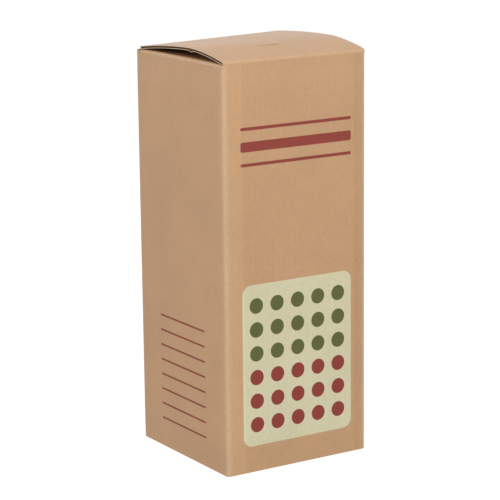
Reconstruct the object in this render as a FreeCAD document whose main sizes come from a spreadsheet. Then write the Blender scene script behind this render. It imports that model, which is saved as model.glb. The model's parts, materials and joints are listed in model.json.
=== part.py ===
import FreeCAD, Part
import math
import os
import Sketcher

# A glass hand mister with a brass plunger pump, packed in its folded carton of fine corrugated board.
# Millimetres. Origin at the centre of the carton's base, X to the right, Y to the back, Z up.
# The front panel faces -Y. The lid folds about the top edge of the front panel and tucks in at the back.

DIMENSIONS = {
    # carton
    "width": 85,
    "depth": 84,
    "height": 210,
    "board": 1.5,
    "side_drop": 0.4,
    "glue_width": 16,
    "glue_inset": 16,
    "base_tuck": 20,
    "base_flap": 30,
    "flap_inset": 3,
    "slit": 0.3,
    # lid: its crest, its rear edge, and how far each half bows above its chord
    "crest_y": -12.5,
    "crest_rise": 5.3,
    "rear_rise": 0.9,
    "front_bow": 0.9,
    "rear_bow": 1.1,
    "tab_width": 14,
    "tab_offset": -2.2,
    "tab_depth": 9.5,
    "tab_corner": 3.2,
    "tab_gap": 0.35,
    "tab_lift": 2,
    "tuck_length": 20,
    "tuck_angle": 10,
    "tuck_taper": 6,
    "dust_length": 30,
    "dust_front": 6,
    "dust_taper": 12,
    "dust_back": 8.5,
    # bottle, from its own base
    "bottle_floor": 3.2,
    "bottle_height": 125,
    "belly_offset": 13.5,
    "belly_radius": 25,
    "belly_height": 20,
    "shoulder_radius": 100,
    "neck_radius": 12.6,
    "wall": 2.5,
    "base_thickness": 4.5,
    "bead_radius": 14.2,
    "bead_low": 108.6,
    "bead_edge": 1,
    "bead_band": 1.5,
    "thread_pitch": 4.23,
    "thread_radius": 13.7,
    "thread_low": 116.6,
    "thread_turns": 1.25,
    "thread_root": 1,
    # fits
    "press_gap": 0.02,
    "face_gap": 0.05,
    "running_gap": 0.08,
    # collar and head
    "gasket_thickness": 1.2,
    "flange_thickness": 2,
    "collar_radius": 16.5,
    "collar_bore": 14.05,
    "collar_height": 17.2,
    "collar_lip": 2,
    "collar_thread": 1,
    "collar_thread_root": 0.7,
    "collar_thread_turns": 1,
    "collar_chamfer": 0.4,
    "knurls": 36,
    "knurl_radius": 0.9,
    "head_radius": 9.5,
    "waist_radius": 8.5,
    "throat_radius": 7.3,
    "arm_level": 153,
    "boss_half": 5,
    "waist_drop": 12.5,
    "boss_slope": 1.5,
    "gland_rise": 7.5,
    "head_rise": 11,
    "nut_height": 4.5,
    "nut_spigot": 1.15,
    "nut_flats": 6,
    # pump tubes, each foot given as a drop below the spray arm
    "sleeve_radius": 7,
    "sleeve_bore": 6.3,
    "sleeve_drop": 67,
    "barrel_radius": 5.7,
    "barrel_bore": 5,
    "barrel_drop": 63,
    "port_radius": 1.2,
    "port_rise": 5,
    "seat_bore": 1.5,
    "chamber_radius": 3,
    "ball_radius": 2.4,
    "ball_rise": 2.15,
    "cage_drop": 61.2,
    "cage_holes": 3,
    "cage_hole_radius": 0.7,
    "cage_hole_place": 1.8,
    "barb_length": 6,
    "tube_radius": 3.1,
    "tube_bore": 2.3,
    "tube_clearance": 1.5,
    # plunger
    "rod_radius": 2,
    "piston_drop": 13,
    "piston_height": 6,
    "seal_wire": 0.65,
    "knob_radius": 9,
    "knob_rise": 34,
    "knob_height": 11,
    "knob_neck": 4.4,
    "knob_neck_height": 2,
    "knob_rim_low": 5,
    "knob_rim_high": 8,
    "knob_top_radius": 5.4,
    "knob_dome": 0.5,
    "rod_engagement": 6,
    "spring_wire": 0.45,
    "spring_pitch": 4.2,
    "spring_turns": 11,
    "spring_foot": 2.6,
    "spring_clearance": 0.35,
    # spray arm, from its own foot
    "arm_radius": 3,
    "arm_bore": 2.2,
    "arm_length": 21,
    "arm_chamber": 9,
    "jet_bore": 1.2,
    "outlet_bore": 1.1,
    "outlet_ball": 1.6,
    "outlet_ball_place": 1.2,
    "outlet_wire": 0.2,
    "outlet_pitch": 0.9,
    "outlet_turns": 5,
    "outlet_clearance": 0.5,
    "outlet_spring_foot": 3.9,
    "core_length": 2.9,
    "core_taper": 0.6,
    "core_hub": 1.5,
    "core_slots": 4,
    "core_slot": 0.8,
    "cap_radius": 4.4,
    "cap_overlap": 5,
    "cap_depth": 8.2,
    "cap_length": 9.6,
    "cap_foot_bevel": 0.5,
    "cap_foot_height": 0.8,
    "cap_nose_length": 2.2,
    "cap_nose_radius": 2.6,
    "cap_notches": 16,
    "cap_notch_radius": 0.65,
    "cap_notch_offset": 0.4,
    "orifice": 0.4,
    "orifice_land": 0.7,
}

doc = FreeCAD.newDocument("mister_in_carton")
sheet = doc.addObject("Spreadsheet::Sheet", "dims")
for row, (alias, value) in enumerate(DIMENSIONS.items(), start=1):
    sheet.set(f"A{row}", alias)
    sheet.set(f"B{row}", str(value))
    sheet.setAlias(f"B{row}", alias)
doc.recompute()

subparts = []


def expression(text):
    """Turns sums of the sheet's aliases, such as "width / 2 - board", into an expression for an object."""
    words = text.replace("(", " ( ").replace(")", " ) ").split()
    return " ".join(f"dims.{word}" if word[0].isalpha() else word for word in words)


def value_of(text):
    """The number that such a sum gives."""
    return float(sheet.evalExpression(expression(text)))


def minus(text):
    return f"0 - ( {text} )"


def keep(item):
    """Puts a finished sub-part, whose name is its label, on the list of those that are written."""
    item.Label = item.Name
    subparts.append(item)


def place(item, corner):
    for axis, text in zip("xyz", corner):
        item.setExpression(f"Placement.Base.{axis}", expression(text))


# Sketches whose points are bound to the sheet -------------------------------------------------------------


def new_sketch(body, name, role):
    plane = next(item for item in body.Origin.OriginFeatures if item.Role == role)
    sketch = body.newObject("Sketcher::SketchObject", name)
    sketch.AttachmentSupport = [(plane, "")]
    sketch.MapMode = "FlatFace"
    return sketch


def pin_point(sketch, curve, end, point):
    """Holds one end of a curve at a point given by two sums."""
    for text, kind, axis in zip(point, ("DistanceX", "DistanceY"), (-2, -1)):
        distance = value_of(text)
        if abs(distance) < 1e-9:
            sketch.addConstraint(Sketcher.Constraint("PointOnObject", curve, end, axis))
        elif distance > 0:
            index = sketch.addConstraint(Sketcher.Constraint(kind, -1, 1, curve, end, distance))
            sketch.setExpression(f"Constraints[{index}]", expression(text))
        else:
            index = sketch.addConstraint(Sketcher.Constraint(kind, curve, end, -1, 1, -distance))
            sketch.setExpression(f"Constraints[{index}]", expression(minus(text)))


def pin_radius(sketch, curve, text):
    index = sketch.addConstraint(Sketcher.Constraint("Radius", curve, value_of(text)))
    sketch.setExpression(f"Constraints[{index}]", expression(text))


def arc_radius(start, end, bow):
    """Radius of the arc over a chord that rises by bow at its middle, as a sum."""
    across, up = (f"( ( {b} ) - ( {a} ) ) ^ 2" for a, b in zip(start, end))
    return f"( {across} + {up} ) / ( 8 * {bow} ) + {bow} / 2"


def outline(body, name, role, points, bows=None):
    """A closed outline. bows names the sides that are arcs, each with its rise and the side it is on."""
    bows = bows or {}
    sketch = new_sketch(body, name, role)
    corners = [FreeCAD.Vector(value_of(u), value_of(v), 0) for u, v in points]
    joins = []
    for side, start in enumerate(corners):
        following = (side + 1) % len(corners)
        end = corners[following]
        joins.append((1, 2))
        if side in bows:
            bow, hand = bows[side]
            chord = end - start
            outward = FreeCAD.Vector(-chord.y, chord.x, 0).normalize() * hand
            sketch.addGeometry(Part.Arc(start, (start + end) * 0.5 + outward * value_of(bow), end), False)
            pin_radius(sketch, side, arc_radius(points[side], points[following], bow))
            joins[side] = (2, 1) if hand > 0 else (1, 2)
        else:
            sketch.addGeometry(Part.LineSegment(start, end), False)
    for side, (near, far) in enumerate(joins):
        following = (side + 1) % len(corners)
        sketch.addConstraint(Sketcher.Constraint("Coincident", side, far, following, joins[following][0]))
        pin_point(sketch, side, near, points[side])
    return sketch


def circle(body, name, role, centre, radius):
    sketch = new_sketch(body, name, role)
    middle = FreeCAD.Vector(value_of(centre[0]), value_of(centre[1]), 0)
    sketch.addGeometry(Part.Circle(middle, FreeCAD.Vector(0, 0, 1), value_of(radius)), False)
    pin_radius(sketch, 0, radius)
    pin_point(sketch, 0, 3, centre)
    return sketch


# Features -------------------------------------------------------------------------------------------------


def new_body(name):
    return doc.addObject("PartDesign::Body", name)


def pad(body, sketch, length, midplane=False):
    feature = body.newObject("PartDesign::Pad", f"{sketch.Name}_pad")
    feature.Profile = sketch
    feature.setExpression("Length", expression(length))
    feature.Midplane = midplane


def revolve(body, kind, sketch):
    """Turns a half section about Z. kind is Revolution to add it or Groove to cut it."""
    feature = body.newObject(f"PartDesign::{kind}", f"{sketch.Name}_turned")
    feature.Profile = sketch
    feature.ReferenceAxis = (sketch, ["V_Axis"])
    feature.Angle = 360


def turn(body, points, bows=None):
    """A turned solid, from a half section in (radius, height) points."""
    revolve(body, "Revolution", outline(body, f"{body.Name}_section", "XZ_Plane", points, bows))


def turned_part(name, points, bows=None):
    """A sub-part that is one turned piece on the pump's axis."""
    body = new_body(name)
    turn(body, points, bows)
    keep(body)


def helix(body, sketch, pitch, turns):
    feature = body.newObject("PartDesign::AdditiveHelix", f"{sketch.Name}_helix")
    feature.Profile = sketch
    feature.ReferenceAxis = (sketch, ["V_Axis"])
    feature.Mode = "pitch-turns-angle"
    feature.setExpression("Pitch", expression(pitch))
    feature.setExpression("Turns", expression(turns))


def pocket_through(body, sketch):
    """Cuts a sketch through the whole solid, both ways from its plane."""
    feature = body.newObject("PartDesign::Pocket", f"{sketch.Name}_cut")
    feature.Profile = sketch
    feature.Type = "ThroughAll"
    feature.Midplane = True
    return feature


def drill_forward(body, name, radius, start):
    """Drills a round hole towards -Y at the spray arm's level, from a distance in front of the axis."""
    sketch = circle(body, name, "XZ_Plane", ("0", "arm_level"), radius)
    sketch.setExpression("AttachmentOffset.Base.z", expression(start))
    feature = body.newObject("PartDesign::Pocket", f"{name}_cut")
    feature.Profile = sketch
    feature.Type = "ThroughAll"
    feature.Reversed = True


def repeat_around(body, feature, axis, count):
    """Repeats a cut evenly around an axis of its own sketch."""
    pattern = body.newObject("PartDesign::PolarPattern", f"{feature.Name}_pattern")
    pattern.Originals = [feature]
    pattern.Axis = (feature.Profile[0], [axis])
    pattern.Angle = 360
    pattern.setExpression("Occurrences", expression(count))
    body.Tip = pattern


def notches(body, centre, radius, count):
    """Round notches along the Z direction, evenly spaced around a turned part."""
    sketch = circle(body, f"{body.Name}_notch", "XY_Plane", (centre, "0"), radius)
    repeat_around(body, pocket_through(body, sketch), "N_Axis", count)


# Carton walls and base ------------------------------------------------------------------------------------

LEFT = "0 - width / 2"
FRONT = "0 - depth / 2"
INNER_FRONT = "board - depth / 2"


def panel(name, size, corner):
    item = doc.addObject("Part::Box", name)
    for prop, text in zip(("Length", "Width", "Height"), size):
        item.setExpression(prop, expression(text))
    place(item, corner)
    keep(item)


def carton_walls():
    panel("front_panel", ("width", "board", "height - board"), (LEFT, FRONT, "0"))
    panel("back_panel", ("width", "board", "height"), (LEFT, "depth / 2 - board", "0"))
    side = ("board", "depth - 2 * board", "height - side_drop - board")
    panel("left_panel", side, (LEFT, INNER_FRONT, "0"))
    panel("right_panel", side, ("width / 2 - board", INNER_FRONT, "0"))
    flap = ("board", "glue_width", "height - 2 * glue_inset")
    panel("glue_flap", flap, (f"{LEFT} + board", "depth / 2 - board - glue_width", "glue_inset"))


def carton_base():
    """The base folds from the back panel. Its tuck flap stands inside the front, over the dust flaps."""
    cover = ("width - 2 * board", "depth - 2 * board", "board")
    panel("bottom_cover", cover, (f"{LEFT} + board", INNER_FRONT, "0"))
    tuck = ("width - 2 * board - 2 * flap_inset", "board", "base_tuck")
    panel("bottom_tuck_flap", tuck, (f"{LEFT} + board + flap_inset", INNER_FRONT, "board"))
    flap = ("base_flap", "depth - 3 * board - 2 * flap_inset", "board")
    flap_front = f"{INNER_FRONT} + board + flap_inset"
    panel("bottom_dust_flap_left", flap, (f"{LEFT} + board", flap_front, "board"))
    panel("bottom_dust_flap_right", flap, ("width / 2 - board - base_flap", flap_front, "board"))


# Lid and top flaps ----------------------------------------------------------------------------------------

LID_FRONT = (FRONT, "height")
LID_CREST = ("crest_y", "height + crest_rise")
LID_REAR = ("depth / 2 - board - slit", "height + rear_rise")


def lowered(point):
    """The point one board's thickness below."""
    return (point[0], f"{point[1]} - board")


def tab_outline(body, name, hinge, start, grow):
    """Outline of the thumb tab from above, hinged along Y = hinge, or of its window, larger by grow."""
    left = f"tab_offset - tab_width / 2 - {grow}"
    right = f"tab_offset + tab_width / 2 + {grow}"
    front = f"{hinge} - tab_depth - {grow}"
    points = [
        (left, start),
        (left, f"{front} + tab_corner"),
        (f"{left} + tab_corner", front),
        (f"{right} - tab_corner", front),
        (right, f"{front} + tab_corner"),
        (right, start),
    ]
    return outline(body, name, "XY_Plane", points)


def lid_panel():
    """One panel from the front fold to the rear one, bowed up to a crease across it."""
    body = new_body("lid_panel")
    points = [LID_FRONT, lowered(LID_FRONT), lowered(LID_CREST), lowered(LID_REAR), LID_REAR, LID_CREST]
    bows = {
        1: ("front_bow", 1),
        2: ("rear_bow", 1),
        4: ("rear_bow", -1),
        5: ("front_bow", -1),
    }
    pad(body, outline(body, "lid_section", "YZ_Plane", points, bows), "width", midplane=True)
    pocket_through(body, tab_outline(body, "tab_window", "crest_y", "crest_y", "tab_gap"))
    keep(body)


def thumb_tab():
    """Cut from the lid on three sides and hinged at its crease, its free end standing proud."""
    body = new_body("thumb_tab")
    pad(body, tab_outline(body, "tab_shape", "0", "0 - slit / 2", "0"), "board")
    tilt = FreeCAD.Rotation(FreeCAD.Vector(1, 0, 0), -value_of("tab_lift"))
    body.Placement = FreeCAD.Placement(FreeCAD.Vector(), tilt)
    place(body, ("0", "crest_y", "height + crest_rise - board"))
    keep(body)


def tuck_flap():
    """Hangs from the lid's rear edge, leaning inwards, with its lower corners cut back."""
    body = new_body("tuck_flap")
    half = "width / 2 - flap_inset"
    points = [
        (minus(half), "0"),
        (f"tuck_taper - ( {half} )", "0 - tuck_length"),
        (f"{half} - tuck_taper", "0 - tuck_length"),
        (half, "0"),
    ]
    pad(body, outline(body, "tuck_shape", "XZ_Plane", points), "board")
    lean = FreeCAD.Rotation(FreeCAD.Vector(1, 0, 0), -value_of("tuck_angle"))
    body.Placement = FreeCAD.Placement(FreeCAD.Vector(), lean)
    place(body, ("0", LID_REAR[0], f"{lowered(LID_REAR)[1]} - slit"))
    keep(body)


def dust_flap(name, side):
    """side is -1 for the left flap and 1 for the right one. Its front edge tapers, so that the lid leads."""
    body = new_body(name)
    tip = "width / 2 - dust_length"
    front = f"{FRONT} + dust_front"
    back = "depth / 2 - dust_back"
    points = [("width / 2", front), ("width / 2", back), (tip, back), (tip, f"{front} + dust_taper")]
    if side < 0:
        points = [(minus(u), v) for u, v in points]
    pad(body, outline(body, f"{name}_shape", "XY_Plane", points), "board")
    place(body, ("0", "0", "height - side_drop - board"))
    keep(body)


# Bottle ---------------------------------------------------------------------------------------------------


def on_circle(centre, radius, angle):
    return centre + FreeCAD.Vector(math.cos(angle), math.sin(angle), 0) * radius


def bottle_profile(body, name, inset, low, high):
    """Half section of the bottle, moved inwards by inset: foot, round belly, long hollow shoulder and neck.

    The shoulder's arc touches the belly's arc on the line between their centres, and then the neck.
    """
    sketch = new_sketch(body, name, "XZ_Plane")
    belly_text = f"belly_radius - {inset}"
    shoulder_text = f"shoulder_radius + {inset}"
    neck_text = f"neck_radius - {inset}"
    belly = FreeCAD.Vector(value_of("belly_offset"), value_of("belly_height"), 0)
    shoulder_x = value_of("neck_radius + shoulder_radius")
    rise = math.sqrt(value_of("belly_radius + shoulder_radius") ** 2 - (shoulder_x - belly.x) ** 2)
    shoulder = FreeCAD.Vector(shoulder_x, belly.y + rise, 0)
    bottom = value_of(low)
    top = value_of(high)
    belly_radius = value_of(belly_text)
    meeting = math.atan2(rise, shoulder_x - belly.x)
    foot_angle = math.asin((bottom - belly.y) / belly_radius)
    foot = on_circle(belly, belly_radius, foot_angle)
    touch = on_circle(belly, belly_radius, meeting)
    neck = FreeCAD.Vector(value_of(neck_text), shoulder.y, 0)
    lip = FreeCAD.Vector(neck.x, top, 0)
    axis_low = FreeCAD.Vector(0, bottom, 0)
    axis_high = FreeCAD.Vector(0, top, 0)
    shoulder_middle = on_circle(shoulder, value_of(shoulder_text), math.pi + meeting / 2)
    curves = [
        Part.LineSegment(axis_low, foot),
        Part.Arc(foot, on_circle(belly, belly_radius, (foot_angle + meeting) / 2), touch),
        Part.Arc(touch, shoulder_middle, neck),
        Part.LineSegment(neck, lip),
        Part.LineSegment(lip, axis_high),
        Part.LineSegment(axis_high, axis_low),
    ]
    for curve in curves:
        sketch.addGeometry(curve, False)
    joins = [(1, 2), (1, 2), (2, 1), (1, 2), (1, 2), (1, 2)]
    kinds = ["Coincident", "Tangent", "Tangent", "Coincident", "Coincident", "Coincident"]
    for side, kind in enumerate(kinds):
        following = (side + 1) % len(curves)
        ends = (side, joins[side][1], following, joins[following][0])
        sketch.addConstraint(Sketcher.Constraint(kind, *ends))
    for kind, side in (("Horizontal", 0), ("Horizontal", 4), ("Vertical", 5)):
        sketch.addConstraint(Sketcher.Constraint(kind, side))
    pin_point(sketch, 0, 1, ("0", low))
    pin_point(sketch, 1, 3, ("belly_offset", "belly_height"))
    pin_point(sketch, 3, 2, (neck_text, high))
    pin_radius(sketch, 1, belly_text)
    pin_radius(sketch, 2, shoulder_text)
    return sketch


def thread_section(body, name, root, crest, level, width):
    """Section of a thread's ridge, from root to crest, at a level and with a half width at its root."""
    points = [
        (root, f"{level} - {width}"),
        (crest, f"{level} - {width} / 2"),
        (crest, f"{level} + {width} / 2"),
        (root, f"{level} + {width}"),
    ]
    return outline(body, name, "XZ_Plane", points)


def glass_bottle():
    """Blown bottle with a carrying bead and a right-hand thread on its neck."""
    body = new_body("glass_bottle")
    revolve(body, "Revolution", bottle_profile(body, "bottle_outside", "0", "0", "bottle_height"))
    root = "neck_radius - 1"
    bead = [
        (root, "bead_low"),
        ("bead_radius", "bead_low + bead_edge"),
        ("bead_radius", "bead_low + bead_edge + bead_band"),
        (root, "bead_low + 2 * bead_edge + bead_band"),
    ]
    revolve(body, "Revolution", outline(body, "bead_section", "XZ_Plane", bead))
    wall = "neck_radius - slit"
    section = thread_section(body, "bottle_thread", wall, "thread_radius", "thread_low", "thread_root")
    helix(body, section, "thread_pitch", "thread_turns")
    inside = bottle_profile(body, "bottle_inside", "wall", "base_thickness", "bottle_height + 1")
    revolve(body, "Groove", inside)
    place(body, ("0", "0", "bottle_floor"))
    keep(body)


# Collar, gasket and head ----------------------------------------------------------------------------------

FINISH = "bottle_floor + bottle_height"
FLANGE = f"{FINISH} + 2 * face_gap + gasket_thickness"
LIP = f"{FLANGE} + flange_thickness"
GLAND = "arm_level + gland_rise"
HEAD_TOP = "arm_level + head_rise"


def collar_gasket():
    low = f"{FINISH} + face_gap"
    bore = "sleeve_radius + slit"
    points = [(bore, low), ("neck_radius", low)]
    points += [(radius, f"{low} + gasket_thickness") for radius in ("neck_radius", bore)]
    turned_part("collar_gasket", points)


def screw_collar():
    """Knurled ring that clamps the head's flange on the bottle, with a right-hand thread inside.

    Its thread runs half a pitch above the bottle's, in the gap between two turns.
    """
    body = new_body("screw_collar")
    low = f"{LIP} + collar_lip - collar_height"
    turn(body, [
        ("collar_bore", low),
        ("collar_radius - collar_chamfer", low),
        ("collar_radius", f"{low} + collar_chamfer"),
        ("collar_radius", f"{LIP} + 1"),
        ("collar_radius - 1", f"{LIP} + collar_lip"),
        ("head_radius + slit", f"{LIP} + collar_lip"),
        ("head_radius + slit", LIP),
        ("collar_bore", LIP),
    ])
    level = "bottle_floor + thread_low + thread_pitch / 2"
    wall, crest = "collar_bore + slit", "collar_bore - collar_thread"
    section = thread_section(body, "collar_thread_section", wall, crest, level, "collar_thread_root")
    helix(body, section, "thread_pitch", "collar_thread_turns")
    notches(body, "collar_radius + knurl_radius / 2", "knurl_radius", "knurls")
    keep(body)


def pump_head():
    """Turned head: flange, body, waist and boss, bored for the sleeve, the barrel, the port and the gland."""
    body = new_body("pump_head")
    sleeve = "sleeve_radius + press_gap"
    barrel = "barrel_radius + press_gap"
    gland = "barrel_bore"
    rod = "rod_radius + slit"
    turn(body, [
        (sleeve, FLANGE),
        ("neck_radius", FLANGE),
        ("neck_radius", LIP),
        ("head_radius", LIP),
        ("head_radius", "arm_level - waist_drop - 1"),
        ("waist_radius", "arm_level - waist_drop"),
        ("waist_radius", "arm_level - boss_half - boss_slope"),
        ("head_radius", "arm_level - boss_half"),
        ("head_radius", "arm_level + boss_half"),
        ("throat_radius", f"{GLAND}"),
        ("throat_radius", HEAD_TOP),
        (gland, HEAD_TOP),
        (gland, GLAND),
        (rod, GLAND),
        (rod, "arm_level + boss_half"),
        (barrel, "arm_level + boss_half"),
        (barrel, "arm_level + 2"),
        (sleeve, "arm_level + 2"),
    ])
    drill_forward(body, "outlet_port", "outlet_bore", "0")
    drill_forward(body, "arm_socket", "arm_radius + press_gap", "sleeve_radius + slit - press_gap")
    keep(body)


def gland_seal():
    bore = "rod_radius + face_gap"
    rim = "barrel_bore - 2 * face_gap"
    low = f"{GLAND} + face_gap"
    high = f"{HEAD_TOP} - nut_spigot - face_gap"
    turned_part("gland_seal", [(bore, low), (rim, low), (rim, high), (bore, high)])


def gland_nut():
    """Hexagon nut whose spigot presses on the rod's seal."""
    body = new_body("gland_nut")
    bore = "rod_radius + running_gap"
    spigot = "barrel_bore - 2 * face_gap"
    low = f"{HEAD_TOP} + press_gap"
    turn(body, [
        (bore, f"{HEAD_TOP} - nut_spigot"),
        (spigot, f"{HEAD_TOP} - nut_spigot"),
        (spigot, low),
        ("waist_radius - slit", low),
        ("waist_radius - slit", f"{low} + nut_height - 1"),
        ("throat_radius - slit", f"{low} + nut_height"),
        (bore, f"{low} + nut_height"),
    ])
    near = "throat_radius - press_gap"
    far = "head_radius + 1"
    points = [(near, minus(far)), (far, minus(far)), (far, far), (near, far)]
    flat = pocket_through(body, outline(body, "nut_flat", "XY_Plane", points))
    repeat_around(body, flat, "N_Axis", "nut_flats")
    keep(body)


# Tubes and inlet valve ------------------------------------------------------------------------------------

SLEEVE_FOOT = "arm_level - sleeve_drop"
BARREL_FOOT = "arm_level - barrel_drop"
VALVE_FOOT = f"{SLEEVE_FOOT} - 2"


def delivery_sleeve():
    """Outer tube. The water rises between it and the barrel."""
    top = "arm_level - arm_radius"
    points = [("sleeve_bore", SLEEVE_FOOT), ("sleeve_radius", SLEEVE_FOOT), ("sleeve_radius", top)]
    turned_part("delivery_sleeve", points + [("sleeve_bore", top)])


def pump_barrel():
    """Inner tube, in which the piston runs. Two cross holes at its foot let the water out."""
    body = new_body("pump_barrel")
    foot = f"{BARREL_FOOT} + press_gap"
    top = "arm_level + boss_half"
    turn(body, [("barrel_bore", foot), ("barrel_radius", foot), ("barrel_radius", top), ("barrel_bore", top)])
    centre = ("0", f"{BARREL_FOOT} + port_rise")
    pocket_through(body, circle(body, "barrel_ports", "XZ_Plane", centre, "port_radius"))
    keep(body)


def valve_body():
    """Closes the foot of both tubes, with the inlet ball's seat and chamber and a barb for the dip tube."""
    flange = f"{SLEEVE_FOOT} - press_gap"
    barb = "tube_bore - press_gap"
    turned_part("valve_body", [
        ("seat_bore", f"{VALVE_FOOT} - barb_length"),
        (f"{barb} - slit", f"{VALVE_FOOT} - barb_length"),
        (barb, f"{VALVE_FOOT} - barb_length + 1"),
        (barb, VALVE_FOOT),
        ("sleeve_radius", VALVE_FOOT),
        ("sleeve_radius", flange),
        ("sleeve_bore - press_gap", flange),
        ("sleeve_bore - press_gap", BARREL_FOOT),
        ("barrel_bore - press_gap", BARREL_FOOT),
        ("barrel_bore - press_gap", f"{BARREL_FOOT} + 2"),
        ("chamber_radius", f"{BARREL_FOOT} + 2"),
        ("chamber_radius", SLEEVE_FOOT),
        ("seat_bore", VALVE_FOOT),
    ])


def ball_cage():
    """Thin disc with three holes that keeps the inlet ball in its chamber."""
    body = new_body("ball_cage")
    rim = "chamber_radius - face_gap"
    top = "arm_level - cage_drop"
    turn(body, [("0", f"{top} - 1"), (rim, f"{top} - 1"), (rim, top), ("0", top)])
    notches(body, "cage_hole_place", "cage_hole_radius", "cage_holes")
    keep(body)


def dip_tube():
    """Straight tube from the valve's barb to just above the bottle's floor, its end cut on a slant."""
    body = new_body("dip_tube")
    low = "bottle_floor + base_thickness + tube_clearance"
    top = f"{VALVE_FOOT} - face_gap"
    turn(body, [("tube_bore", low), ("tube_radius", low), ("tube_radius", top), ("tube_bore", top)])
    outside = "tube_radius + 1"
    below = f"{low} - 1"
    slant = [(minus(outside), below), (outside, below), (minus(outside), f"{low} + 2 * tube_radius")]
    pocket_through(body, outline(body, "tube_slant", "XZ_Plane", slant))
    keep(body)


def ball(name, radius, centre):
    item = doc.addObject("Part::Sphere", name)
    item.setExpression("Radius", expression(radius))
    place(item, centre)
    keep(item)


# Plunger --------------------------------------------------------------------------------------------------

PISTON_FOOT = "arm_level - piston_drop"
KNOB_FOOT = "arm_level + knob_rise"


def piston():
    rim = "barrel_bore - 2 * face_gap"
    ring_groove = "barrel_bore - face_gap - 2 * seal_wire - face_gap"
    bore = "rod_radius + press_gap"
    middle = f"{PISTON_FOOT} + piston_height / 2"
    top = f"{PISTON_FOOT} + piston_height"
    groove_half = "( seal_wire + 3 * face_gap )"
    turned_part("piston", [
        (bore, PISTON_FOOT),
        (rim, PISTON_FOOT),
        (rim, f"{middle} - {groove_half}"),
        (ring_groove, f"{middle} - {groove_half}"),
        (ring_groove, f"{middle} + {groove_half}"),
        (rim, f"{middle} + {groove_half}"),
        (rim, top),
        (bore, top),
    ])


def piston_seal():
    item = doc.addObject("Part::Torus", "piston_seal")
    item.setExpression("Radius1", expression("barrel_bore - face_gap - seal_wire"))
    item.setExpression("Radius2", expression("seal_wire"))
    place(item, ("0", "0", f"{PISTON_FOOT} + piston_height / 2"))
    keep(item)


def plunger_rod():
    top = f"{KNOB_FOOT} + rod_engagement"
    points = [("0", PISTON_FOOT), ("rod_radius", PISTON_FOOT), ("rod_radius", top), ("0", top)]
    turned_part("plunger_rod", points)


def plunger_knob():
    bore = "rod_radius + press_gap"
    bore_top = f"{KNOB_FOOT} + rod_engagement + press_gap"
    top = f"{KNOB_FOOT} + knob_height"
    points = [
        (bore, KNOB_FOOT),
        ("2 * rod_radius", KNOB_FOOT),
        ("knob_neck", f"{KNOB_FOOT} + knob_neck_height"),
        ("knob_radius", f"{KNOB_FOOT} + knob_rim_low"),
        ("knob_radius", f"{KNOB_FOOT} + knob_rim_high"),
        ("knob_top_radius", top),
        ("0", top),
        ("0", bore_top),
        (bore, bore_top),
    ]
    turned_part("plunger_knob", points, {4: ("knob_dome", -1)})


def return_spring():
    """Wire coil between the cross holes at the barrel's foot and the piston."""
    body = new_body("return_spring")
    centre = ("barrel_bore - spring_wire - spring_clearance", f"{BARREL_FOOT} + spring_foot")
    wire = circle(body, "spring_section", "XZ_Plane", centre, "spring_wire")
    helix(body, wire, "spring_pitch", "spring_turns")
    keep(body)


# Spray arm ------------------------------------------------------------------------------------------------

ARM_FOOT = "sleeve_radius + slit"


def lay_forward(body, distance):
    """Lays a part that was made upright along -Y at the spray arm's level, its foot that far forward."""
    body.Placement = FreeCAD.Placement(FreeCAD.Vector(), FreeCAD.Rotation(FreeCAD.Vector(1, 0, 0), 90))
    place(body, ("0", minus(distance), "arm_level"))
    keep(body)


def spray_arm():
    """Tube with a wide chamber at its foot for the outlet ball and its spring."""
    body = new_body("spray_arm")
    turn(body, [
        ("arm_bore", "0"),
        ("arm_radius", "0"),
        ("arm_radius", "arm_length"),
        ("jet_bore", "arm_length"),
        ("jet_bore", "arm_chamber"),
        ("arm_bore", "arm_chamber"),
    ])
    lay_forward(body, ARM_FOOT)


def outlet_spring():
    """Coil behind the outlet ball, which leaves the ball room to lift."""
    body = new_body("outlet_spring")
    centre = ("arm_bore - outlet_wire - outlet_clearance", "2 * outlet_wire")
    wire = circle(body, "outlet_spring_section", "XZ_Plane", centre, "outlet_wire")
    helix(body, wire, "outlet_pitch", "outlet_turns")
    lay_forward(body, f"{ARM_FOOT} + outlet_spring_foot")


def swirl_core():
    """Short plug with four slots that make the water swirl behind the orifice."""
    body = new_body("swirl_core")
    turn(body, [
        ("0", "0"),
        ("arm_bore", "0"),
        ("arm_bore", "core_length - core_taper"),
        ("jet_bore", "core_length"),
        ("0", "core_length"),
    ])
    low, high = "0 - slit", "core_length + slit"
    points = [("core_hub", low), ("arm_radius", low), ("arm_radius", high), ("core_hub", high)]
    slot = body.newObject("PartDesign::Pocket", "slot_cut")
    slot.Profile = outline(body, "slot_shape", "XZ_Plane", points)
    slot.Midplane = True
    slot.setExpression("Length", expression("core_slot"))
    repeat_around(body, slot, "V_Axis", "core_slots")
    lay_forward(body, f"{ARM_FOOT} + arm_length + face_gap")


def nozzle_cap():
    """Notched cup that screws over the arm's end, with a fine orifice in its face."""
    body = new_body("nozzle_cap")
    bore = "arm_radius + running_gap"
    turn(body, [
        (bore, "0"),
        ("cap_radius - cap_foot_bevel", "0"),
        ("cap_radius", "cap_foot_height"),
        ("cap_radius", "cap_length - cap_nose_length"),
        ("cap_nose_radius", "cap_length"),
        ("3 * orifice", "cap_length"),
        ("orifice", "cap_length - orifice_land"),
        ("orifice", "cap_depth"),
        (bore, "cap_depth"),
    ])
    notches(body, "cap_radius + cap_notch_offset", "cap_notch_radius", "cap_notches")
    lay_forward(body, f"{ARM_FOOT} + arm_length - cap_overlap")


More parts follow.
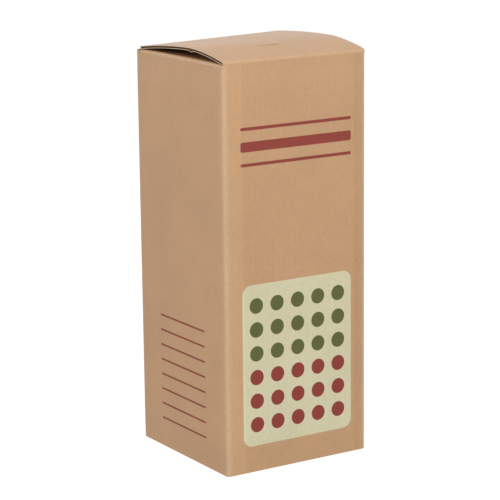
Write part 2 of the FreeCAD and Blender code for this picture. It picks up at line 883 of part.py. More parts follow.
carton_walls()
carton_base()
lid_panel()
thumb_tab()
tuck_flap()
dust_flap("dust_flap_left", -1)
dust_flap("dust_flap_right", 1)
glass_bottle()
screw_collar()
collar_gasket()
pump_head()
gland_nut()
gland_seal()
delivery_sleeve()
pump_barrel()
valve_body()
ball("inlet_ball", "ball_radius", ("0", "0", f"{VALVE_FOOT} + ball_rise"))
ball_cage()
dip_tube()
piston()
piston_seal()
plunger_rod()
plunger_knob()
return_spring()
spray_arm()
ball("outlet_ball", "outlet_ball", ("0", f"0 - ( {ARM_FOOT} ) - outlet_ball_place", "arm_level"))
outlet_spring()
swirl_core()
nozzle_cap()

doc.recompute()
failed = [item.Name for item in doc.Objects if {"Invalid", "Error"} & set(item.State)]
if failed:
    raise SystemExit(f"failed objects: {failed}")
os.makedirs("parts", exist_ok=True)
for item in subparts:
    if item.Shape.isNull() or not item.Shape.isValid():
        raise SystemExit(f"{item.Label} has no valid shape")
    item.Shape.exportStep(f"parts/{item.Label}.step")
    box = item.Shape.optimalBoundingBox(False)
    spans = [f"{low:8.2f}{high:8.2f}" for low, high in zip(
        (box.XMin, box.YMin, box.ZMin), (box.XMax, box.YMax, box.ZMax))]
    print(f"{item.Label:24s}{len(item.Shape.Solids)} solid{item.Shape.Volume:10.1f} mm3  {'  '.join(spans)}")
print(len(subparts), "sub-parts")
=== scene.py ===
"""Looks of the hand mister in its folded carton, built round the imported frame.

Lengths are in millimetres until a mesh is made. The carton's front faces -Y, its base stands on Z = 0.
"""

import json
import math

import bpy
import numpy as np
from mathutils import Matrix, Vector, geometry


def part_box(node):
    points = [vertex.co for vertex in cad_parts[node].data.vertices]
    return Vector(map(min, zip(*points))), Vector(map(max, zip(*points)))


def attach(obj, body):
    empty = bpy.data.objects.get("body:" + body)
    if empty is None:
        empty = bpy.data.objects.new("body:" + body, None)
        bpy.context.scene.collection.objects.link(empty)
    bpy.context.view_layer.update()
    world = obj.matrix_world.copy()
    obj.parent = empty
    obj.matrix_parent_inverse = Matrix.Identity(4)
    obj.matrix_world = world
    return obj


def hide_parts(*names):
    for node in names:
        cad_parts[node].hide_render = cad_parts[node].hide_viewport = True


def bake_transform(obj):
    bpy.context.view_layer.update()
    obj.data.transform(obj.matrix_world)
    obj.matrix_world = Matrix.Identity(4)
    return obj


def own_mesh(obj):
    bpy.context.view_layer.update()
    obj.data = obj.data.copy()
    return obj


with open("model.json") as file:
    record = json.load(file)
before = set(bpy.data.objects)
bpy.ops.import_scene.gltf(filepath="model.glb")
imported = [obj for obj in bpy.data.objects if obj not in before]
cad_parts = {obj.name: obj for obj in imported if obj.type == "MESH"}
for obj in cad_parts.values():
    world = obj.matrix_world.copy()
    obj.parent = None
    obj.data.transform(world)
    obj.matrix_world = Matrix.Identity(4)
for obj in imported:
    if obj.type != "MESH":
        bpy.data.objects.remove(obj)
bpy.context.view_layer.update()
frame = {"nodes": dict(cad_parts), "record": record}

MM = 0.001
X_AXIS, Y_AXIS, Z_AXIS = np.eye(3)


def node_box(node):
    """Lowest and highest corner of a CAD node, in millimetres."""
    low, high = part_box(node)
    return np.array(low) / MM, np.array(high) / MM


# Sizes that the frame gives
FRONT_LOW, FRONT_HIGH = node_box("front_panel")
HEIGHT = node_box("back_panel")[1][2]
GLUE_LOW, GLUE_HIGH = node_box("glue_flap")
LID_HIGH = node_box("lid_panel")[1]
TAB_LOW, TAB_HIGH = node_box("thumb_tab")
TUCK_LOW, TUCK_HIGH = node_box("tuck_flap")
DUST_LOW, DUST_HIGH = node_box("dust_flap_right")
BASE_HIGH = node_box("bottom_cover")[1]
BASE_TUCK_HIGH = node_box("bottom_tuck_flap")[1]
BASE_DUST_LOW = node_box("bottom_dust_flap_right")[0]
HALF_WIDTH = FRONT_HIGH[0]
HALF_DEPTH = -FRONT_LOW[1]
BOARD = FRONT_HIGH[1] - FRONT_LOW[1]

# Board
FOLD_RADIUS = BOARD + 0.2
LINER = 0.19
FLUTE_PITCH = 3.4
FLUTE_SAMPLES = 10
FLUTE_SWING = 0.26
FLUTE_HALF = 0.06
CREASE_RIDGE = 0.9
CREASE_RIDGE_RUN = 0.9
# Reach of the pale scuffed colour from cut edges, which is partly a painted highlight
EDGE_RUB_AND_HIGHLIGHT = 0.3
BULGE = 0.48
BULGE_RUN = 16.0
BAND_BLEND = 0.14
# Strength and reach of the pale scuffed colour on wall and lid folds, partly a painted highlight
FOLD_RUB_AND_HIGHLIGHT, FOLD_RUB_AND_HIGHLIGHT_BESIDE, FOLD_RUB_AND_HIGHLIGHT_RUN = 0.3, 0.22, 0.9
LID_FOLD_RUB_AND_HIGHLIGHT, LID_FOLD_RUB_AND_HIGHLIGHT_RUN = 0.2, 0.45

# Nodes of a material --------------------------------------------------------------------------------------


def srgb(red, green, blue):
    """Linear colour, with alpha, of an sRGB colour given from 0 to 255."""
    parts = [c / 255 for c in (red, green, blue)]
    return tuple(c / 12.92 if c < 0.04045 else ((c + 0.055) / 1.055) ** 2.4 for c in parts) + (1.0,)


class Material:
    """A node material. Each method adds a node and returns its output."""

    def __init__(self, name, **settings):
        self.material = bpy.data.materials.new(name)
        self.material.use_nodes = True
        self.tree = self.material.node_tree
        self.shader = self.tree.nodes["Principled BSDF"]
        for socket, value in settings.items():
            self.shader.inputs[socket.replace("_", " ")].default_value = value

    def node(self, kind, inputs=(), **settings):
        made = self.tree.nodes.new(kind)
        for name, value in settings.items():
            setattr(made, name, value)
        for socket, value in dict(inputs).items():
            self.put(made.inputs[socket], value)
        return made

    def put(self, socket, value):
        if isinstance(value, bpy.types.NodeSocket):
            self.tree.links.new(value, socket)
        else:
            socket.default_value = value

    def math(self, operation, *values):
        made = self.node("ShaderNodeMath", operation=operation)
        for socket, value in zip(made.inputs, values):
            self.put(socket, value)
        return made.outputs[0]

    def place(self, name="rest", scale=(1, 1, 1)):
        """Where the shaded point lies on the unbent piece, in millimetres over scale."""
        point = self.node("ShaderNodeAttribute", attribute_name=name).outputs["Vector"]
        return self.node("ShaderNodeMapping", {"Vector": point, "Scale": scale}).outputs[0]

    def local(self, scale=(1, 1, 1)):
        """Where the shaded point lies on a CAD node at rest, in millimetres over scale."""
        point = self.node("ShaderNodeTexCoord").outputs["Object"]
        sizes = tuple(s / MM for s in scale)
        return self.node("ShaderNodeMapping", {"Vector": point, "Scale": sizes}).outputs[0]

    def amount(self, name):
        return self.node("ShaderNodeAttribute", attribute_name=name).outputs["Fac"]

    def noise(self, where, scale, detail=3.0, rough=0.5, distortion=0.0):
        inputs = {"Vector": where, "Scale": scale, "Detail": detail, "Roughness": rough}
        inputs["Distortion"] = distortion
        return self.node("ShaderNodeTexNoise", inputs).outputs["Fac"]

    def span(self, value, low, high, to_low=0.0, to_high=1.0):
        """value taken from low..high to to_low..to_high, held at both ends."""
        inputs = {0: value, 1: low, 2: high, 3: to_low, 4: to_high}
        return self.node("ShaderNodeMapRange", inputs, interpolation_type="SMOOTHSTEP").outputs[0]

    def mix(self, factor, first, second, blend="MIX"):
        made = self.node("ShaderNodeMix", data_type="RGBA", blend_type=blend)
        colours = [s for s in made.inputs if s.type == "RGBA"]
        self.put(made.inputs[0], factor)
        self.put(colours[0], first)
        self.put(colours[1], second)
        return [s for s in made.outputs if s.type == "RGBA"][0]

    def bump(self, height, distance, under=None):
        inputs = {"Height": height, "Distance": distance * MM, "Strength": 1.0}
        if under is not None:
            inputs["Normal"] = under
        return self.node("ShaderNodeBump", inputs).outputs[0]

    def finish(self, **sockets):
        for socket, value in sockets.items():
            self.put(self.shader.inputs[socket.replace("_", " ")], value)
        return self.material


# Board materials ------------------------------------------------------------------------------------------


def board_material(name, colour, roughness=0.55, specular=0.5, flute=0.05, show=0.0):
    """Paper of a corrugated board: pulp mottling, short fibres, faint flute lines, scuffed folds and cut
    edges whose pale colour is partly a painted highlight, and painted light and shade in the fold bands.

    flute is how strongly the flutes stand out, and show is how much bare kraft shows through an ink where it
    is scuffed.
    """
    paper = Material(name, Specular_IOR_Level=specular)
    rest = paper.place()
    sheet = paper.place("sheet")
    across = paper.node("ShaderNodeSeparateXYZ", {0: sheet}).outputs[0]
    wave = paper.math("SINE", paper.math("MULTIPLY", across, 2 * math.pi / FLUTE_PITCH))
    cloud = paper.noise(rest, 0.035, 4.0, 0.55)
    mottle = paper.noise(rest, 0.45, 4.0, 0.6)
    streak = paper.noise(paper.place("sheet", (1.0, 0.12, 1.0)), 1.6, 3.0, 0.6, 0.4)
    fibre = paper.noise(paper.place("sheet", (4.0, 0.9, 1.0)), 2.2, 4.0, 0.7, 1.5)
    speck = paper.span(paper.noise(rest, 2.6, 2.0, 0.5), 0.69, 0.76)
    shade = 0.0
    for pattern, swing in ((cloud, 0.03), (mottle, 0.028), (streak, 0.02), (fibre, 0.035)):
        shade = paper.math("ADD", shade, paper.span(pattern, 0.3, 0.7, -swing, swing))
    shade = paper.math("ADD", shade, paper.math("MULTIPLY", wave, flute * 0.12))
    shade = paper.math("MULTIPLY_ADD", speck, -0.07, shade)
    # Painted light and shade of the fold bands, stronger in green and blue than in red
    tone = paper.amount("tone")
    shade = paper.math("ADD", shade, 1.0)
    red = paper.math("MULTIPLY_ADD", tone, 0.8, shade)
    green = paper.math("MULTIPLY_ADD", tone, 1.15, shade)
    tint = paper.node("ShaderNodeCombineColor", {0: red, 1: green, 2: green}).outputs[0]
    base = paper.mix(1.0, colour, tint, "MULTIPLY")
    # Pale scuffed colour, also a painted highlight where folds and cut edges catch the light
    rubbed_and_lit = srgb(232, 208, 178)
    worn_and_lit = paper.math("MULTIPLY", paper.amount("wear_and_highlight"), paper.span(mottle, 0.25, 0.6, 0.55, 1.0))
    base = paper.mix(worn_and_lit, base, rubbed_and_lit)
    if show:
        chips = paper.math("MULTIPLY", paper.span(fibre, 0.56, 0.72), show)
        base = paper.mix(chips, base, KRAFT)
    grain = paper.math("ADD", fibre, paper.math("MULTIPLY", mottle, 0.8))
    height = paper.math("ADD", grain, paper.math("MULTIPLY", paper.noise(rest, 0.03, 2.0), 14.0))
    height = paper.math("MULTIPLY_ADD", wave, flute * 12, height)
    rough = paper.span(mottle, 0.25, 0.75, roughness - 0.06, roughness + 0.07)
    return paper.finish(Base_Color=base, Roughness=rough, Normal=paper.bump(height, 0.02))


KRAFT = srgb(207, 163, 121)
OUTER = board_material("kraft_outer_liner", KRAFT, 0.4, 0.55)
INNER = board_material("kraft_inner_liner", srgb(150, 108, 72), 0.75, 0.25, 0.12)
# Fluting colour darkened to paint the shade in the flutes seen at cut edges
FLUTING_WITH_SHADE = board_material("kraft_fluting_painted_shade", srgb(132, 104, 76), 0.85, 0.2, 0.0, show=0.8)
INKS = {
    "cream": board_material("ink_cream", srgb(224, 217, 180), 0.5, 0.4, show=0.15),
    "terracotta": board_material("ink_terracotta", srgb(150, 60, 50), 0.5, 0.4, show=0.12),
    "leaf": board_material("ink_leaf", srgb(98, 104, 52), 0.5, 0.4, show=0.12),
    "rust": board_material("ink_rust", srgb(152, 64, 54), 0.5, 0.4, show=0.3),
}

# Sheets of board ------------------------------------------------------------------------------------------


def unit(vectors):
    return vectors / np.maximum(np.linalg.norm(vectors, axis=-1, keepdims=True), 1e-12)


def grid_lines(low, high, step, near=(0.35, 0.8, 1.5, 3.0, 6.0)):
    """Places of grid lines from low to high, closer together near both ends."""
    inner = np.linspace(low, high, max(2, int(math.ceil((high - low) / step)) + 1))
    steps = [d for d in near if d < (high - low) / 2]
    ends = [low + d for d in steps] + [high - d for d in steps]
    free = [v for v in inner if all(abs(v - e) > step * 0.3 for e in ends) or v in (low, high)]
    return np.unique(np.round(ends + free, 6))


def inside(points, loop):
    """Which points lie inside a closed loop of corners."""
    x, y = points[:, 0], points[:, 1]
    found = np.zeros(len(points), bool)
    for (x0, y0), (x1, y1) in zip(loop, np.roll(loop, -1, axis=0)):
        crosses = (y0 > y) != (y1 > y)
        with np.errstate(divide="ignore", invalid="ignore"):
            found ^= crosses & (x < (x1 - x0) * (y - y0) / (y1 - y0) + x0)
    return found


def gap_to(points, loop, seams=()):
    """Distance of each point to a loop's nearest side, but for the sides that lie along a seam."""
    nearest = np.full(len(points), 1e3)
    for start, end in zip(loop, np.roll(loop, -1, axis=0)):
        side = end - start
        if any(abs(start[axis] - value) + abs(side[axis]) < 1e-6 for axis, value in seams):
            continue
        t = np.clip(((points - start) @ side) / max(side @ side, 1e-12), 0, 1)
        nearest = np.minimum(nearest, np.linalg.norm(points - start - t[:, None] * side, axis=1))
    return nearest


def rounded(corners, radius=0, steps=5):
    """A loop with each corner rounded to radius, or to its own where corners hold (x, y, radius)."""
    loop = []
    count = len(corners)
    for i, corner in enumerate(corners):
        here = np.array(corner[:2], float)
        size = corner[2] if len(corner) > 2 else radius
        before = np.array(corners[i - 1][:2], float) - here
        after = np.array(corners[(i + 1) % count][:2], float) - here
        way_in, way_out = unit(before), unit(after)
        half = math.acos(np.clip(way_in @ way_out, -1, 1)) / 2
        if size <= 0 or abs(half - math.pi / 2) < 1e-3:
            loop.append(here)
            continue
        reach = size / math.tan(half)
        centre = here + unit(way_in + way_out) * size / math.sin(half)
        start, end = here + way_in * reach - centre, here + way_out * reach - centre
        for t in np.linspace(0, 1, steps + 1):
            loop.append(centre + unit(start * (1 - t) + end * t) * size)
    return np.array(loop)


def split_at_lines(loop, lines_a, lines_b):
    """The loop with a point wherever one of its sides crosses a grid line."""
    made = []
    for start, end in zip(loop, np.roll(loop, -1, axis=0)):
        cuts = [0.0]
        for axis, lines in ((0, lines_a), (1, lines_b)):
            span = end[axis] - start[axis]
            if abs(span) > 1e-9:
                t = (lines - start[axis]) / span
                cuts.extend(t[(t > 1e-5) & (t < 1 - 1e-5)])
        cuts = np.array(sorted(cuts))
        keep = np.append(True, np.diff(cuts) * np.linalg.norm(end - start) > 0.01)
        made.extend(start + (end - start) * t for t in cuts[keep])
    return np.array(made)


def triangulate(loops, lines_a, lines_b):
    """Points and triangles of a flat shape: its first loop less the others, with inner points on the grid."""
    loops = [split_at_lines(loop, lines_a, lines_b) for loop in loops]
    points, edges = [], []
    for loop in loops:
        start, count = len(points), len(loop)
        points.extend(loop)
        edges.extend((start + i, start + (i + 1) % count) for i in range(count))
    grid = np.array(np.meshgrid(lines_a, lines_b)).reshape(2, -1).T
    free = inside(grid, loops[0])
    for loop in loops:
        free &= gap_to(grid, loop) > 0.02
    for loop in loops[1:]:
        free &= ~inside(grid, loop)
    points = np.vstack([np.array(points), grid[free]])
    made = geometry.delaunay_2d_cdt([Vector(p) for p in points], edges, [], 1, 1e-5)
    points = np.array([tuple(p) for p in made[0]])
    faces = np.array([tuple(f) for f in made[2]])
    corners = points[faces]
    area = np.cross(corners[:, 1] - corners[:, 0], corners[:, 2] - corners[:, 0])
    middle = corners.mean(axis=1)
    kept = (np.abs(area) > 1e-9) & inside(middle, loops[0])
    for loop in loops[1:]:
        kept &= ~inside(middle, loop)
    faces, area = faces[kept], area[kept]
    faces[area < 0] = faces[area < 0][:, ::-1]
    used = np.unique(faces)
    renumber = np.zeros(len(points), int)
    renumber[used] = np.arange(len(used))
    return points[used], renumber[faces]


def border(faces):
    """The sides that only one triangle has, each in that triangle's own direction."""
    sides = {(f[i], f[(i + 1) % 3]) for f in faces.tolist() for i in range(3)}
    return [s for s in sides if (s[1], s[0]) not in sides]


def new_piece(name, points, faces, material, body=None, smooth=True):
    """A mesh piece from points in millimetres. body is the CAD body that it rides on."""
    mesh = bpy.data.meshes.new(name)
    mesh.from_pydata((np.array(points) * MM).tolist(), [], [list(f) for f in faces])
    mesh.materials.append(material)
    mesh.polygons.foreach_set("use_smooth", [smooth] * len(mesh.polygons))
    piece = bpy.data.objects.new(name, mesh)
    bpy.context.scene.collection.objects.link(piece)
    store(mesh, "rest", points)
    if body:
        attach(piece, body)
    return piece


def store(mesh, name, values, domain="POINT"):
    """Keeps one value or one vector for each vertex or face corner under a name that materials read."""
    values = np.array(values, np.float32)
    if values.ndim == 1:
        mesh.attributes.new(name, "FLOAT", domain).data.foreach_set("value", values)
    else:
        mesh.attributes.new(name, "FLOAT_VECTOR", domain).data.foreach_set("vector", values.ravel())


def slab(name, surface, shapes, lines_a, lines_b, depths, material, wear_and_highlight=0.0, analytic=True, seams=()):
    """Closed sheets between two depths under a curved surface, as one piece.

    Each shape is an outline and its holes. surface(a, b) gives points and outward normals, and depths(points)
    gives both depths there. Without analytic, the faces' own smooth normals are kept. seams are (axis, value)
    lines where the sheet goes on in the next piece, so that its rim isn't a pale cut edge there.
    """
    points, polygons, rims, sheets, rubs_and_highlights, cuts, painted_lights, normals = [], [], [], [], [], [], [], []
    start = 0
    for shape in shapes:
        flat, faces = triangulate(shape, lines_a, lines_b)
        outer, normal = surface(flat[:, 0], flat[:, 1])
        corner = outer[faces]
        facing = np.cross(corner[:, 1] - corner[:, 0], corner[:, 2] - corner[:, 0])
        if np.sum(facing * normal[faces[:, 0]]) < 0:
            faces = faces[:, ::-1]
        near, far = depths(flat)
        count = len(flat)
        below = start + count
        points += [outer - normal * near[:, None], outer - normal * far[:, None]]
        normals += [normal, -normal]
        polygons += (faces + start).tolist() + (faces[:, ::-1] + below).tolist()
        rims += [(b + start, a + start, a + below, b + below) for a, b in border(faces)]
        # Cut edges and folds take the pale scuffed colour, partly as a painted highlight
        cut = np.exp(-np.min([gap_to(flat, loop, seams) for loop in shape], axis=0) / EDGE_RUB_AND_HIGHLIGHT)
        rub_and_highlight = surface.rub_and_highlight(*flat.T) if hasattr(surface, "rub_and_highlight") else 0 * cut
        sheet = np.column_stack([flat, 0 * flat[:, 0]])
        sheets += [sheet, sheet]
        rubs_and_highlights += [rub_and_highlight * wear_and_highlight, rub_and_highlight * wear_and_highlight]
        cuts += [cut * wear_and_highlight, cut * wear_and_highlight]
        # Painted light and shade in a panel's fold bands
        tone = surface.tone(flat[:, 0]) if hasattr(surface, "tone") else 0 * rub_and_highlight
        painted_lights += [tone, tone]
        start += 2 * count
    piece = new_piece(name, np.vstack(points), polygons + rims, material)
    mesh = piece.data
    store(mesh, "sheet", np.vstack(sheets))
    store(mesh, "tone", np.concatenate(painted_lights))
    vertex = np.zeros(len(mesh.loops), int)
    mesh.loops.foreach_get("vertex_index", vertex)
    on_rim = np.arange(len(vertex)) >= 3 * len(polygons)
    # Rims take the cut-edge amount and faces the fold amount, both partly painted highlight
    worn_and_lit = np.where(on_rim, np.concatenate(cuts)[vertex], np.concatenate(rubs_and_highlights)[vertex])
    store(mesh, "wear_and_highlight", worn_and_lit, "CORNER")
    if analytic:
        corners = np.vstack(normals)[vertex]
        for polygon in mesh.polygons[len(polygons):]:
            corners[polygon.loop_start:polygon.loop_start + polygon.loop_total] = polygon.normal
        mesh.normals_split_custom_set(corners.tolist())
    else:
        mesh.polygons.foreach_set("use_smooth", np.arange(len(mesh.polygons)) < len(polygons))
    return piece


def board(
    name, surface, loop, holes=(), body="carton", steps=(9.0, 12.0), lines=((), ()), seams=(), crease=None
):
    """Outer liner, fluting and inner liner of one panel, as three closed pieces.

    a runs across the flutes and b along them. lines are extra a and b grid lines that follow its bends.
    crease is the b where the panel bends up, so that its inner side is crushed into a small ridge.
    """
    loop = np.array(loop, float)
    shape = [loop, *(np.array(hole, float) for hole in holes)]
    low, high = loop.min(axis=0), loop.max(axis=0)
    lines_a = np.unique(np.round(np.concatenate([grid_lines(low[0], high[0], steps[0]), lines[0]]), 6))
    lines_b = np.unique(np.round(np.concatenate([grid_lines(low[1], high[1], steps[1]), lines[1]]), 6))
    step = FLUTE_PITCH / FLUTE_SAMPLES
    fine = np.arange(math.ceil(low[0] / step), high[0] / step) * step

    def outer(flat):
        return 0 * flat[:, 0], BOARD * LINER + 0 * flat[:, 0]

    def ridge(flat):
        if crease is None:
            return 0 * flat[:, 0]
        return CREASE_RIDGE * np.exp(-((flat[:, 1] - crease) / CREASE_RIDGE_RUN) ** 2)

    def inner(flat):
        return BOARD * (1 - LINER) + ridge(flat), BOARD + ridge(flat)

    def wave(flat):
        middle = 0.5 + FLUTE_SWING * np.cos(2 * math.pi * flat[:, 0] / FLUTE_PITCH)
        middle = BOARD * middle + ridge(flat) / 2
        return middle - BOARD * FLUTE_HALF, middle + BOARD * FLUTE_HALF

    # The number after each material is how strongly its folds and cut edges take the pale scuffed colour,
    # partly a painted highlight
    made = [
        slab(f"{name}_outer_liner", surface, [shape], lines_a, lines_b, outer, OUTER, 1.0, seams=seams),
        slab(f"{name}_inner_liner", surface, [shape], lines_a, lines_b, inner, INNER, 0.9, seams=seams),
        slab(f"{name}_fluting", surface, [shape], fine, lines_b, wave, FLUTING_WITH_SHADE, 0.15, analytic=False),
    ]
    for piece in made:
        if body:
            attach(piece, body)
    return made


def stand_for(pieces, node):
    """The pieces show in place of a CAD node."""
    for piece in pieces:
        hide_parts(node)


# Surfaces that panels follow ------------------------------------------------------------------------------


def soft_min(first, second, blend):
    """The smaller of two values, rounded over blend where they meet."""
    return (first + second - np.sqrt((first - second) ** 2 + blend ** 2)) / 2


def smooth_step(t):
    t = np.clip(t, 0, 1)
    return t * t * (3 - 2 * t)


class Panel:
    """A panel whose outer face bends inwards round a fold past the ends of its flat part.

    bands are the widths, beside the folds at its two a ends, over which the panel rises to its bulge.
    """

    def __init__(self, corner, across, along, out, flat_a, flat_b, bands=None, ends_b=(0, 0)):
        self.corner, self.out = np.array(corner, float), np.array(out, float)
        self.across, self.along = np.array(across, float), np.array(along, float)
        self.flat_a, self.flat_b, self.bands, self.ends_b = flat_a, flat_b, bands, ends_b
        self.painted_lights = (0.0, 0.0)

    def bulge(self, a, b):
        if not self.bands:
            return 0 * a
        left = (a - self.flat_a[0]) / self.bands[0]
        right = (self.flat_a[1] - a) / self.bands[1]
        rise = np.clip(soft_min(soft_min(left, right, 0.02), 1, BAND_BLEND) + BAND_BLEND / 20, 0, None)
        ends = smooth_step((b - self.ends_b[0]) / BULGE_RUN) * smooth_step((self.ends_b[1] - b) / BULGE_RUN)
        return BULGE * rise * ends

    def __call__(self, a, b):
        held_a, held_b = np.clip(a, *self.flat_a), np.clip(b, *self.flat_b)
        over_a, over_b = (a - held_a)[:, None], (b - held_b)[:, None]
        angle = (np.abs(over_a) + np.abs(over_b)) / FOLD_RADIUS
        side = np.sign(over_a) * self.across + np.sign(over_b) * self.along
        normal = self.out * np.cos(angle) + side * np.sin(angle)
        centre = self.corner + self.across * held_a[:, None] + self.along * held_b[:, None]
        points = centre + (normal - self.out) * FOLD_RADIUS + self.out * self.bulge(a, b)[:, None]
        step = 0.02
        slope_a = (self.bulge(a + step, b) - self.bulge(a - step, b)) / (2 * step)
        slope_b = (self.bulge(a, b + step) - self.bulge(a, b - step)) / (2 * step)
        lean = slope_a[:, None] * self.across + slope_b[:, None] * self.along
        return points, unit(normal - lean * (angle == 0))

    def rub_and_highlight(self, a, b):
        """How much the outer side of a vertical fold is scuffed pale, partly as a painted highlight."""
        gap = np.minimum(np.abs(a - self.flat_a[0]), np.abs(a - self.flat_a[1]))
        past = (a < self.flat_a[0]) | (a > self.flat_a[1])
        return np.where(past, FOLD_RUB_AND_HIGHLIGHT, FOLD_RUB_AND_HIGHLIGHT_BESIDE * np.exp(-gap / FOLD_RUB_AND_HIGHLIGHT_RUN))

    def tone(self, a):
        """Painted light: a painted highlight in the band beside one fold and painted shade in the band beside
        the other, as light from the left falls on the bent bands.
        """
        if not self.bands:
            return 0 * a
        left = 1 - smooth_step(((a - self.flat_a[0]) / self.bands[0] - 0.9) / 0.2)
        right = 1 - smooth_step(((self.flat_a[1] - a) / self.bands[1] - 0.9) / 0.2)
        return left * self.painted_lights[0] + right * self.painted_lights[1]

    def lines(self):
        """Grid lines that follow the folds and the bulge."""
        bend = np.linspace(0, FOLD_TURN, 7)
        lines_a = [self.flat_a[0] - bend, self.flat_a[1] + bend]
        lines_b = []
        if self.bands:
            share = np.array([0.2, 0.45, 0.7, 0.8, 0.88, 0.94, 1.0, 1.06, 1.12, 1.2, 1.35])
            lines_a += [self.flat_a[0] + share * self.bands[0], self.flat_a[1] - share * self.bands[1]]
            run = np.linspace(0, BULGE_RUN, 8)
            lines_b += [self.ends_b[0] + run, self.ends_b[1] - run]
        return np.concatenate(lines_a), np.concatenate(lines_b) if lines_b else ()


# How far a wall's half of a corner reaches round it
FOLD_TURN = FOLD_RADIUS * math.pi / 4


def fold_down(level):
    """Grid lines round a whole fold below a level."""
    return level - np.linspace(0, FOLD_TURN * 2, 9)


# The lid: two halves that bow up to a crease, with a slight crown and a raised rear right corner.
# CROWN_SHARE is the part of the crown that lifts the middle, while the rest lowers the sides.
CREST_Y = TAB_HIGH[1] + 0.15
CREST_Z = LID_HIGH[2]
LID_FRONT_Z = HEIGHT + 0.8
LID_REAR_Y = LID_HIGH[1]
LID_REAR_Z = HEIGHT + 0.9
FRONT_BOW = 0.7
REAR_BOW = 0.8
CROWN = 0.3
CROWN_START = 3.0
CROWN_RUN = 30.0
CROWN_SHARE = 0.4
TWIST = 2.2
TWIST_ACROSS, TWIST_ALONG = 1.6, 2
CREASE_BLEND = 0.25


def half_arch(y, start, end, bow):
    """Height at y of a bowed span between two (y, z) ends, straight on beyond them."""
    t = (y - start[0]) / (end[0] - start[0])
    held = np.clip(t, 0, 1)
    rise = end[1] - start[1]
    slope = np.where(t < 0, rise + 4 * bow, rise - 4 * bow)
    return start[1] + rise * held + 4 * bow * held * (1 - held) + slope * (t - held)


def lid_height(x, y):
    front = half_arch(y, (-HALF_DEPTH, LID_FRONT_Z), (CREST_Y, CREST_Z), FRONT_BOW)
    rear = half_arch(y, (CREST_Y, CREST_Z), (LID_REAR_Y, LID_REAR_Z), REAR_BOW)
    run_in = smooth_step((y + HALF_DEPTH - CROWN_START) / CROWN_RUN)
    crown = CROWN * run_in * (CROWN_SHARE - (x / HALF_WIDTH) ** 2)
    to_right = np.clip((x / HALF_WIDTH + 1) / 2, 0, 1)
    to_rear = np.clip((y / HALF_DEPTH + 1) / 2, 0, 1)
    lift = TWIST * to_right ** TWIST_ACROSS * to_rear ** TWIST_ALONG
    return soft_min(front, rear, CREASE_BLEND) + crown + lift


def lid_surface(x, y):
    """Points and normals of the lid's outer face over x and y."""
    step = 0.05
    points = np.column_stack([x, y, lid_height(x, y)])
    slope_x = (lid_height(x + step, y) - lid_height(x - step, y)) / (2 * step)
    slope_y = (lid_height(x, y + step) - lid_height(x, y - step)) / (2 * step)
    return points, unit(np.column_stack([-slope_x, -slope_y, np.ones_like(x)]))


class Profile:
    """A strip whose outer face follows a path of (y, z) points that may differ along x.

    path(x) gives the start, the sharp corner and the end. b is the length along the rounded path.
    """

    def __init__(self, path, radius=FOLD_RADIUS):
        self.path, self.radius = path, radius

    def parts(self, x):
        start, corner, end = self.path(x)
        way_in, way_out = unit(corner - start), unit(end - corner)
        turn = np.arccos(np.clip(np.sum(way_in * way_out, axis=1), -1, 1))
        reach = self.radius * np.tan(turn / 2)
        first = np.linalg.norm(corner - start, axis=1) - reach
        last = np.linalg.norm(end - corner, axis=1) - reach
        return start, way_in, way_out, turn, first, last

    def length(self, x=0.0):
        start, way_in, way_out, turn, first, last = self.parts(np.array([x]))
        return float(first[0]), float(self.radius * turn[0]), float(last[0])

    def __call__(self, x, b):
        start, way_in, way_out, turn, first, last = self.parts(x)
        first0, arc0, last0 = self.length()
        before = np.clip(b, 0, first0) / first0 * first
        round_part = np.clip((b - first0) / arc0, 0, 1) * turn
        after = np.clip(b - first0 - arc0, 0, None) / last0 * last
        out_in = np.column_stack([-way_in[:, 1], way_in[:, 0]])
        cos, sin = np.cos(round_part)[:, None], np.sin(round_part)[:, None]
        out = out_in * cos + way_in * sin
        centre = start + way_in * first[:, None] - out_in * self.radius
        place = centre + out * self.radius + np.where(
            (b <= first0)[:, None], way_in * (before - first)[:, None], way_out * after[:, None]
        )
        points = np.column_stack([x, place])
        return points, np.column_stack([np.zeros_like(x), out])

    def rub_and_highlight(self, x, b):
        # Pale scuffed band round the middle of the fold, partly a painted highlight
        first, arc, _ = self.length()
        return LID_FOLD_RUB_AND_HIGHLIGHT * np.exp(-np.abs(b - first - arc / 2) / (LID_FOLD_RUB_AND_HIGHLIGHT_RUN * arc))


def stacked(x, y, z):
    """One (y, z) point for each x."""
    return np.column_stack([np.broadcast_to(y, x.shape), np.broadcast_to(z, x.shape)])


# Walls ----------------------------------------------------------------------------------------------------

LID_STRIP_LOW = HEIGHT - 0.8
DUST_TOP = DUST_HIGH[2]
SIDE_STRIP_LOW = DUST_TOP - 1.9
FLAT_X = HALF_WIDTH - FOLD_RADIUS
FLAT_Y = HALF_DEPTH - FOLD_RADIUS
DUST_FOLD_Y = FLAT_Y - 0.3
EDGE_GAP = 0.15
FRONT_BANDS = (9.0, 6.0)
SIDE_BANDS = (6.0, 6.0)


def rectangle(low_a, high_a, low_b, high_b):
    return [(low_a, low_b), (high_a, low_b), (high_a, high_b), (low_a, high_b)]


def front_surface():
    surface = Panel((0, -HALF_DEPTH, 0), X_AXIS, Z_AXIS, -Y_AXIS, (-FLAT_X, FLAT_X), (-1, HEIGHT),
                    FRONT_BANDS, (0, LID_STRIP_LOW))
    # Painted highlight in the band beside the left fold, painted shade in the band beside the right one
    surface.painted_lights = (0.06, -0.05)
    return surface


def front_wall():
    surface = front_surface()
    reach = FLAT_X + FOLD_TURN
    loop = rectangle(-reach, reach, EDGE_GAP, LID_STRIP_LOW)
    made = board("front_panel", surface, loop, lines=surface.lines(),
                 seams=((1, LID_STRIP_LOW), (0, -reach), (0, reach)))
    stand_for(made, "front_panel")


